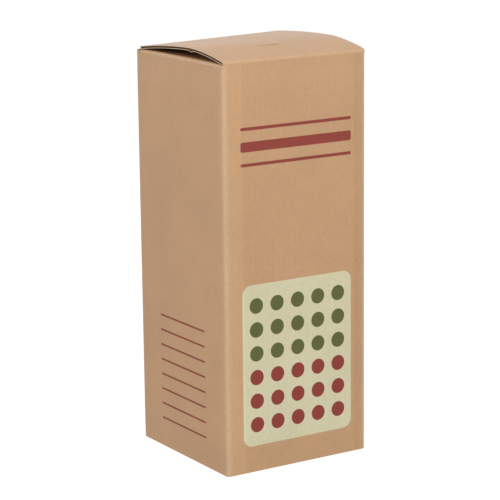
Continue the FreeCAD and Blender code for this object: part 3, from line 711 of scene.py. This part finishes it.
def side_surface(side):
    """The left panel, side -1, ends in a raw edge at the back."""
    flat = (-FLAT_Y, FLAT_Y) if side > 0 else (-HALF_DEPTH - 1, FLAT_Y)
    return Panel((side * HALF_WIDTH, 0, 0), Y_AXIS * side, Z_AXIS, X_AXIS * side, flat,
                 (0, HEIGHT), SIDE_BANDS, (0, SIDE_STRIP_LOW))


def side_wall(name, side):
    """Its corners reach as high as the front panel, beside the fold of its dust flap."""
    surface = side_surface(side)
    reach = FLAT_Y + FOLD_TURN
    low_a = -reach if side > 0 else -(HALF_DEPTH - 0.2)
    post = DUST_FOLD_Y + 0.1
    loop = [(low_a, EDGE_GAP), (reach, EDGE_GAP), (reach, LID_STRIP_LOW), (post, LID_STRIP_LOW),
            (post, SIDE_STRIP_LOW), (-post, SIDE_STRIP_LOW), (-post, LID_STRIP_LOW), (low_a, LID_STRIP_LOW)]
    made = board(name, surface, loop, lines=surface.lines(),
                 seams=((1, SIDE_STRIP_LOW), (0, -reach), (0, reach)))
    stand_for(made, name)


def back_wall():
    """Its left edge folds into the glue flap, inside the left panel, and its foot into the base."""
    flat = (-FLAT_X, HALF_WIDTH - BOARD - FOLD_RADIUS)
    surface = Panel((0, HALF_DEPTH, 0), -X_AXIS, Z_AXIS, Y_AXIS, flat, (FOLD_RADIUS, HEIGHT + 1),
                    SIDE_BANDS, (FOLD_RADIUS, HEIGHT + BULGE_RUN))
    low, high = flat[0] + 0.4, flat[1] - 0.4
    step, foot = FOLD_RADIUS + 0.3, FOLD_RADIUS - FOLD_TURN * 2
    loop = [(flat[0] - FOLD_TURN, step), (low, step), (low, foot), (high, foot), (high, step),
            (flat[1] + FOLD_TURN, step), (flat[1] + FOLD_TURN, HEIGHT), (flat[0] - FOLD_TURN, HEIGHT)]
    lines_a, lines_b = surface.lines()
    lines_b = np.concatenate([lines_b, fold_down(FOLD_RADIUS)])
    made = board("back_panel", surface, loop, lines=(lines_a, lines_b),
                 seams=((0, flat[0] - FOLD_TURN), (0, flat[1] + FOLD_TURN)))
    stand_for(made, "back_panel")


def glue_flap():
    """Glued inside the left panel. It takes the other half of the back panel's fold."""
    corner = (-(HALF_WIDTH - BOARD), 0, 0)
    surface = Panel(corner, -Y_AXIS, Z_AXIS, -X_AXIS, (-FLAT_Y, HALF_DEPTH), (0, HEIGHT))
    end = GLUE_HIGH[1] - GLUE_LOW[1] - FLAT_Y
    low, high, taper = 3.0, HEIGHT - 4, 10
    loop = [(-FLAT_Y - FOLD_TURN, low), (-FLAT_Y, low), (end, low + taper),
            (end, high - taper), (-FLAT_Y, high), (-FLAT_Y - FOLD_TURN, high)]
    seams = ((0, -FLAT_Y - FOLD_TURN),)
    stand_for(board("glue_flap", surface, loop, lines=surface.lines(), seams=seams), "glue_flap")


# Base -----------------------------------------------------------------------------------------------------


def base():
    """The cover folds from the back panel and tucks in behind the front one, over two dust flaps."""
    half = BASE_HIGH[0] - 0.3
    flat = (-(HALF_DEPTH - FOLD_RADIUS - BOARD - 0.2), HALF_DEPTH - FOLD_RADIUS)
    surface = Panel((0, 0, 0.05), X_AXIS, Y_AXIS, -Z_AXIS, (-HALF_WIDTH, HALF_WIDTH), flat)
    low = flat[0] - FOLD_TURN * 2
    made = board("bottom_cover", surface, rectangle(-half, half, low, flat[1]),
                 lines=((), fold_down(flat[0])))
    stand_for(made, "bottom_cover")
    tuck_half, start, shoulder, corner = BASE_TUCK_HIGH[0], FOLD_RADIUS + 0.05, 8, 5
    tuck_y = flat[0] - FOLD_RADIUS
    surface = Panel((0, tuck_y, 0), X_AXIS, Z_AXIS, -Y_AXIS, (-HALF_WIDTH, HALF_WIDTH), (0, HEIGHT))
    top = BASE_TUCK_HIGH[2]
    loop = rounded([(-half, start, 0), (half, start, 0), (tuck_half, shoulder, 0), (tuck_half, top, corner),
                    (-tuck_half, top, corner), (-tuck_half, shoulder, 0)])
    stand_for(board("bottom_tuck_flap", surface, loop), "bottom_tuck_flap")
    for name, side in (("bottom_dust_flap_left", -1), ("bottom_dust_flap_right", 1)):
        surface = Panel((0, 0, BOARD), Y_AXIS, X_AXIS * side, -Z_AXIS,
                        (-HALF_DEPTH, HALF_DEPTH), (0, HALF_WIDTH))
        near, far = BASE_DUST_LOW[0], HALF_WIDTH - BOARD - 0.05
        edge, slant, corner = FLAT_Y - 0.4, 3, 4
        half = edge - slant
        corners = [(-edge, far, 0), (-half, near, corner), (half, near, corner), (edge, far, 0)]
        stand_for(board(name, surface, rounded(corners)[::-1]), name)


# Lid, tab and flaps ---------------------------------------------------------------------------------------

LID_STRIP_RUN = 2.6
LID_STRIP_Y = -HALF_DEPTH + LID_STRIP_RUN
TUCK_STRIP_Y = LID_REAR_Y - LID_STRIP_RUN
TUCK_LEAN = math.radians(10)
BEND_LINES = 13
LID_EDGE = HALF_WIDTH - 0.1
TUCK_STRIP_DROP = 3.0
TAB_GAP = 0.04
TAB_RISE = 0.04
TAB_RISE_RUN = 2.0
TAB_HINGE_GAP = 0.25
# Strength of the pale tab rim, partly a painted highlight
TAB_RUB_AND_HIGHLIGHT = 0.9
TAB_CORNER = 3.2
TUCK_SPREAD = 1.0
DUST_SPREAD = 1.5
DUST_STRIP_RUN = 2.8


def fold_to_lid():
    """The board round the fold between the front panel and the lid."""

    def path(x):
        z = LID_FRONT_Z + 0 * x
        far = lid_height(x, np.full_like(x, LID_STRIP_Y))
        return (stacked(x, -HALF_DEPTH, LID_STRIP_LOW), stacked(x, -HALF_DEPTH, z),
                stacked(x, LID_STRIP_Y, far))

    surface = Profile(path)
    first, arc, last = surface.length()
    half, end = FLAT_X + 1.2, first + arc + last
    loop = [(-half, 0), (half, 0), (half, first), (LID_EDGE, end), (-LID_EDGE, end), (-half, first)]
    bend = first + np.linspace(0, arc, BEND_LINES)
    made = board("lid_fold", surface, loop, body=None, lines=((), bend), seams=((1, 0), (1, end)))
    for piece in made:
        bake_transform(piece)


def tab_window(grow):
    left, right, front = TAB_LOW[0] - grow, TAB_HIGH[0] + grow, TAB_LOW[1] - grow
    corners = [(left, CREST_Y, 0), (left, front, TAB_CORNER), (right, front, TAB_CORNER), (right, CREST_Y, 0)]
    return rounded(corners, steps=7)


def lid():
    """It has a small ear on each side of the tuck flap's fold."""
    rear, slit, ear = TUCK_HIGH[0] + TUCK_SPREAD, 0.3, LID_REAR_Y - 0.5
    half = [(LID_EDGE, LID_STRIP_Y), (LID_EDGE, ear - 1.0), (LID_EDGE - 1.0, ear), (rear + slit, ear),
            (rear + slit, TUCK_STRIP_Y), (rear, TUCK_STRIP_Y)]
    loop = half + [(-x, y) for x, y in half[::-1]]
    near_crease = CREST_Y + np.array([-1.2, -0.6, -0.3, 0, 0.3, 0.6, 1.2])
    window, rim = tab_window(TAB_GAP), 0.4
    beside = [window[:, 0].min() - rim, window[:, 0].max() + rim]
    below = window[:, 1].min() - rim
    made = board("lid_panel", lid_surface, loop, [window], body="lid", steps=(8, 4),
                 lines=(beside, np.append(near_crease, below)),
                 seams=((1, LID_STRIP_Y), (1, TUCK_STRIP_Y)), crease=CREST_Y)
    stand_for(made, "lid_panel")


def thumb_tab():
    """Its cut end stands a little proud of the lid, with a pale scuffed rim that is partly a painted
    highlight.
    """

    def surface(x, y):
        points, normal = lid_surface(x, y)
        proud = (CREST_Y - y) * TAB_RISE
        share = np.clip((CREST_Y - y) / TAB_RISE_RUN, 0, 1)
        return points + normal * (proud * share)[:, None], normal

    def rub_and_highlight(x, y):
        # Pale rim round the tab's outline, partly a painted highlight
        return TAB_RUB_AND_HIGHLIGHT * np.exp(-gap_to(np.column_stack([x, y]), window) / EDGE_RUB_AND_HIGHLIGHT)

    window = tab_window(0.0)
    window[:, 1] = np.minimum(window[:, 1], CREST_Y - TAB_HINGE_GAP)
    surface.rub_and_highlight = rub_and_highlight
    stand_for(board("thumb_tab", surface, window, body="tab", steps=(3, 2)), "thumb_tab")


def tuck_path(x):
    top = lid_height(x, np.full_like(x, LID_REAR_Y))
    near = lid_height(x, np.full_like(x, TUCK_STRIP_Y))
    drop = TUCK_STRIP_DROP + 0 * x
    return (stacked(x, TUCK_STRIP_Y, near), stacked(x, LID_REAR_Y, top),
            stacked(x, LID_REAR_Y - drop * math.tan(TUCK_LEAN), top - drop))


def tuck_flap():
    """Hangs from the lid's rear fold, leaning inwards, with the board round that fold as its own piece."""
    strip = Profile(tuck_path)
    first, arc, last = strip.length()
    rear = TUCK_HIGH[0] + TUCK_SPREAD
    bend = first + np.linspace(0, arc, BEND_LINES)
    end = first + arc + last
    made = board("tuck_fold", strip, rectangle(-rear, rear, 0, end), body=None, lines=((), bend),
                 seams=((1, 0), (1, end)))
    for piece in made:
        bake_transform(piece)
    lean = math.cos(TUCK_LEAN)
    bottom = (HEIGHT - TUCK_LOW[2]) / lean

    def surface(x, b):
        top = lid_height(x, np.full_like(x, LID_REAR_Y))
        down = (TUCK_STRIP_DROP / lean + b) * lean
        points = np.column_stack([x, LID_REAR_Y - down * math.tan(TUCK_LEAN), top - down])
        return points, np.broadcast_to([0, lean, -math.sin(TUCK_LEAN)], points.shape).copy()

    half, length = TUCK_HIGH[0], bottom - TUCK_STRIP_DROP / lean
    loop = rounded([(-rear, 0, 0), (rear, 0, 0), (half, 2, 0), (half - 2, length, 6), (2 - half, length, 6),
                    (-half, 2, 0)])
    stand_for(board("tuck_flap", surface, loop, body="tuck", seams=((1, 0),)), "tuck_flap")


def dust_flap(name, side):
    """side is -1 for the left flap. a runs along the side wall and b from the wall inwards."""
    corner_z, reach = DUST_TOP, HALF_WIDTH - DUST_STRIP_RUN

    def turned(surface):
        """The strip's y becomes -side x, so that the same profile serves both walls."""

        def place(a, b):
            points, normal = surface(a, b)
            swap = [1, 0, 2]
            points, normal = points[:, swap], normal[:, swap]
            points[:, 0] *= -side
            normal[:, 0] *= -side
            return points, normal

        place.rub_and_highlight = surface.rub_and_highlight
        return place

    def path(a):
        return (stacked(a, -HALF_WIDTH, SIDE_STRIP_LOW), stacked(a, -HALF_WIDTH, corner_z),
                stacked(a, -reach, corner_z))

    strip = Profile(path)
    first, arc, last = strip.length()
    front, back, tip = DUST_LOW[1], DUST_HIGH[1], DUST_LOW[0]
    fold_front, fold_back, end = front - DUST_SPREAD, back + DUST_SPREAD, first + arc + last
    loop = [(-DUST_FOLD_Y, 0), (DUST_FOLD_Y, 0), (DUST_FOLD_Y, first), (fold_back, end), (fold_front, end),
            (-DUST_FOLD_Y, first)]
    if side < 0:
        loop = loop[::-1]
    bend = first + np.linspace(0, arc, BEND_LINES)
    made = board(f"{name}_fold", turned(strip), loop, body=None, lines=((), bend),
                 seams=((1, 0), (1, end)))
    flap_body = "flap_left" if side < 0 else "flap_right"
    for piece in made:
        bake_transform(piece)

    def flat(a, b):
        points = np.column_stack([side * b, a, np.full_like(a, corner_z)])
        return points, np.broadcast_to([0.0, 0.0, 1.0], points.shape).copy()

    slant = 13
    corners = [(fold_front, reach, 0), (front + 1, reach - 5, 3), (front + slant, tip, 3), (back, tip, 4),
               (back, reach - 4, 1), (fold_back, reach, 0)]
    stand_for(board(name, flat, rounded(corners), body=flap_body, seams=((1, reach),)), name)


# Print on the panels: plain rules, a block and dots, in thin layers of ink --------------------------------

INK = 0.02
INK_SINK = 0.02


def printed(name, surface, shapes, ink, layer=1):
    """Closed flat shapes of ink on a panel's outer face. Higher layers lie on lower ones."""

    def depths(flat):
        return -INK * layer + 0 * flat[:, 0], INK_SINK + 0 * flat[:, 0]

    lines_a, lines_b = surface.lines()
    lines_a = np.unique(np.round(np.append(lines_a, np.arange(-HALF_WIDTH, HALF_WIDTH, 4.0)), 6))
    lines_b = np.unique(np.round(np.append(lines_b, np.arange(0, HEIGHT, 6.0)), 6))
    piece = slab(name, surface, [[shape] for shape in shapes], lines_a, lines_b, depths, INKS[ink])
    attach(piece, "carton")


def bar(low_a, high_a, middle, height):
    """A bar with rounded corners."""
    corners = rectangle(low_a, high_a, middle - height / 2, middle + height / 2)
    return rounded(corners, min(0.35 * height, 0.9), 4)


def dot(centre, radius, sides=40):
    turn = np.linspace(0, 2 * math.pi, sides, endpoint=False)
    return np.array(centre) + radius * np.column_stack([np.cos(turn), np.sin(turn)])


def front_print():
    """A bold rule between two thin ones, over a pale block with an even grid of dots."""
    surface = front_surface()
    low, high, half = 14.0, 98.0, 33.0
    level, drop = 168.0, 9.0
    thin = [bar(-half, half, middle, 1.6) for middle in (level + drop, level - drop)]
    printed("print_thin_rules", surface, thin, "rust")
    printed("print_bold_rule", surface, [bar(-half, half, level, 5.0)], "rust")
    block = rounded(rectangle(-half, half, low, high), 5.0, 8)
    printed("print_block", surface, [block], "cream")
    columns, rows, pitch, radius = 5, 6, 12.4, 4.0
    middle = (low + high) / 2
    halves = (("print_dots_low", "terracotta", 0, 3), ("print_dots_high", "leaf", 3, rows))
    for name, ink, first, last in halves:
        dots = [
            dot(((column - (columns - 1) / 2) * pitch, middle + (row - (rows - 1) / 2) * pitch), radius)
            for row in range(first, last) for column in range(columns)
        ]
        printed(name, surface, dots, ink, 2)


def side_print():
    """An even ladder of equal rules."""
    surface = side_surface(-1)
    half, low, high, count = 22.0, 16.0, 72.0, 8
    bars = [bar(-half, half, level, 1.0) for level in np.linspace(low, high, count)]
    printed("print_side_rules", surface, bars, "rust")


front_wall()
side_wall("left_panel", -1)
side_wall("right_panel", 1)
back_wall()
glue_flap()
base()
fold_to_lid()
lid()
thumb_tab()
tuck_flap()
dust_flap("dust_flap_left", -1)
dust_flap("dust_flap_right", 1)
front_print()
side_print()

# Mister ---------------------------------------------------------------------------------------------------


def clear_glass():
    """Blown glass: slightly wavy, with a faint green cast where it is thick."""
    glass = Material("clear_glass", Transmission_Weight=1.0, IOR=1.5, Base_Color=srgb(246, 251, 248))
    where = glass.local()
    height = glass.noise(glass.local((1, 1, 0.5)), 0.06, 2.0)
    rough = glass.span(glass.noise(where, 0.3, 3.0), 0.4, 0.7, 0.01, 0.035)
    return glass.finish(Roughness=rough, Normal=glass.bump(height, 0.35))


def turned_metal(name, dark, light, low_rough, high_rough):
    """Metal with fine turning lines round the Z axis, a little cloudy where it was handled."""
    metal = Material(name, Metallic=1.0)
    lines = metal.noise(metal.local((0.06, 0.06, 3.0)), 1.0, 2.0, 0.5)
    cloud = metal.noise(metal.local(), 0.16, 4.0, 0.6)
    base = metal.mix(metal.span(cloud, 0.3, 0.7), dark, light)
    rough = metal.span(lines, 0.3, 0.7, low_rough, high_rough)
    rough = metal.math("ADD", rough, metal.span(cloud, 0.4, 0.7, 0, 0.06))
    return metal.finish(Base_Color=base, Roughness=rough, Normal=metal.bump(lines, 0.004))


def moulded_plastic():
    """Off-white moulded plastic with a fine spark-eroded texture and faint flow marks."""
    plastic = Material("pump_plastic", Specular_IOR_Level=0.45, Subsurface_Weight=0.1)
    grain = plastic.noise(plastic.local(), 3.0, 2.0)
    flow = plastic.noise(plastic.local((1, 1, 0.25)), 0.25, 3.0)
    base = plastic.mix(plastic.span(flow, 0.3, 0.7), srgb(226, 223, 212), srgb(238, 236, 228))
    return plastic.finish(Base_Color=base, Roughness=plastic.span(flow, 0.3, 0.7, 0.36, 0.48),
                          Normal=plastic.bump(grain, 0.012))


def extruded_tube():
    """Translucent tube with lines along its length."""
    tube = Material("clear_tube", Transmission_Weight=0.75, IOR=1.48)
    lines = tube.noise(tube.local((2.5, 2.5, 0.05)), 1.0, 3.0)
    base = tube.mix(tube.span(lines, 0.3, 0.7), srgb(228, 231, 229), srgb(244, 246, 245))
    return tube.finish(Base_Color=base, Roughness=tube.span(lines, 0.3, 0.7, 0.16, 0.3),
                       Normal=tube.bump(lines, 0.02))


def moulded_rubber():
    rubber = Material("seal_rubber", Specular_IOR_Level=0.35)
    dust = rubber.noise(rubber.local(), 1.4, 5.0, 0.65)
    base = rubber.mix(rubber.span(dust, 0.45, 0.75), srgb(22, 22, 22), srgb(46, 45, 43))
    return rubber.finish(Base_Color=base, Roughness=rubber.span(dust, 0.3, 0.7, 0.55, 0.75),
                         Normal=rubber.bump(dust, 0.02))


def dress(materials):
    """Gives each CAD node that stays on show the material of its slot in the record."""
    for subpart in frame["record"]["subparts"]:
        node = frame["nodes"][subpart["node"]]
        if node.hide_render:
            continue
        node.data.materials.clear()
        node.data.materials.append(materials[subpart["material_slot"]])


def return_spring(material):
    """Wire coil with one closed turn at each end."""
    low, high = node_box("return_spring")
    wire, snug = 0.45, 1.05
    radius = high[0] - wire
    turns, closed, steps, ring = 11, 1.0, 40, 12
    count = int((turns + 2 * closed) * steps)
    t = np.linspace(0, turns + 2 * closed, count + 1)
    tight = 2 * wire * snug
    pitch = (high[2] - low[2] - 2 * wire - 2 * closed * tight) / turns
    rise = np.where(t < closed, t * tight, closed * tight + (t - closed) * pitch)
    last = t > turns + closed
    rise[last] = closed * tight + turns * pitch + (t[last] - turns - closed) * tight
    angle = 2 * math.pi * t
    out = np.column_stack([np.cos(angle), np.sin(angle), 0 * t])
    line = out * radius + np.outer(rise + low[2] + wire, Z_AXIS)
    points, faces = [], []
    for i in range(ring):
        swing = 2 * math.pi * i / ring
        points.append(line + wire * (out * math.cos(swing) + Z_AXIS * math.sin(swing)))
    points = np.stack(points, axis=1).reshape(-1, 3)
    for step in range(count):
        for i in range(ring):
            here, after = step * ring + i, step * ring + (i + 1) % ring
            faces.append((here, after, after + ring, here + ring))
    faces.append(tuple(range(ring))[::-1])
    faces.append(tuple(count * ring + i for i in range(ring)))
    spring = new_piece("return_spring_coil", points, faces, material)
    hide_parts("return_spring")
    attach(spring, "pump")
    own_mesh(spring)


BRASS = turned_metal("brass", srgb(198, 160, 94), srgb(218, 184, 120), 0.17, 0.3)
STEEL = turned_metal("steel", srgb(190, 191, 194), srgb(214, 215, 217), 0.2, 0.34)
return_spring(STEEL)
dress({
    "kraft_board": OUTER,
    "clear_glass": clear_glass(),
    "brass": BRASS,
    "pump_plastic": moulded_plastic(),
    "clear_tube": extruded_tube(),
    "seal_rubber": moulded_rubber(),
    "steel": STEEL,
})

# Stage ----------------------------------------------------------------------------------------------------


def stage():
    white = Material("stage_white", Base_Color=(0.93, 0.93, 0.93, 1), Roughness=0.9, Specular_IOR_Level=0.1,
                     Emission_Color=(1, 1, 1, 1), Emission_Strength=0.45)
    size = 60.0
    mesh = bpy.data.meshes.new("floor")
    corners = rectangle(-size, size, -size, size)
    mesh.from_pydata([(x, y, 0) for x, y in corners], [], [(0, 1, 2, 3)])
    mesh.materials.append(white.material)
    floor = bpy.data.objects.new("floor", mesh)
    floor.visible_diffuse = False
    floor.visible_glossy = False
    bpy.context.scene.collection.objects.link(floor)
    world = bpy.data.worlds.new("studio")
    world.use_nodes = True
    tree = world.node_tree
    direction = tree.nodes.new("ShaderNodeTexCoord").outputs["Generated"]
    parts = tree.nodes.new("ShaderNodeSeparateXYZ")
    tree.links.new(direction, parts.inputs[0])
    level = tree.nodes.new("ShaderNodeMapRange")
    level.inputs["From Min"].default_value = -1.0
    tree.links.new(parts.outputs["Z"], level.inputs[0])
    ramp = tree.nodes.new("ShaderNodeValToRGB").color_ramp
    tree.links.new(level.outputs[0], ramp.id_data.nodes[-1].inputs[0])
    # Brightness by height: 0 is straight down, 0.5 the horizon and 1 straight up
    bands = ((0.47, 0.44), (0.5, 1.05), (0.62, 1.05), (0.84, 0.45))
    while len(ramp.elements) < len(bands):
        ramp.elements.new(0.5)
    for element, (place, value) in zip(ramp.elements, bands):
        element.position = place
        element.color = (value, value, value, 1)
    tree.links.new(ramp.id_data.nodes[-1].outputs[0], tree.nodes["Background"].inputs[0])
    bpy.context.scene.world = world
    aim_at = Vector((0, 0, 0.11))
    lamps = {
        "key": ((-0.46, -0.76, 0.86), 0.5, 5.0),
        "top": ((0.05, 0.1, 1.3), 0.8, 1.0),
    }
    for name, (place, side, watts) in lamps.items():
        lamp = bpy.data.lights.new(name, "AREA")
        lamp.size = side
        lamp.energy = watts
        holder = bpy.data.objects.new(name, lamp)
        holder.location = place
        aim = aim_at - Vector(place)
        holder.rotation_mode = "QUATERNION"
        holder.rotation_quaternion = aim.to_track_quat("-Z", "Y")
        bpy.context.scene.collection.objects.link(holder)
    bpy.context.scene.view_settings.view_transform = "Standard"


def camera():
    azimuth, elevation, roll = (math.radians(angle) for angle in (-32.36, 12.57, -0.64))
    distance, to_right, upwards = 1.112, -0.00105, 0.1023
    back = Vector((math.sin(azimuth) * math.cos(elevation), -math.cos(azimuth) * math.cos(elevation),
                   math.sin(elevation)))
    right = Vector((math.cos(azimuth), math.sin(azimuth), 0))
    up = back.cross(right)
    lens = bpy.data.cameras.new("camera")
    lens.lens, lens.sensor_width = 150.3, 36
    holder = bpy.data.objects.new("camera", lens)
    turn = Matrix((right, up, back)).transposed().to_4x4() @ Matrix.Rotation(roll, 4, "Z")
    holder.matrix_world = Matrix.Translation(back * distance + right * to_right + up * upwards) @ turn
    bpy.context.scene.collection.objects.link(holder)
    bpy.context.scene.camera = holder


stage()
camera()
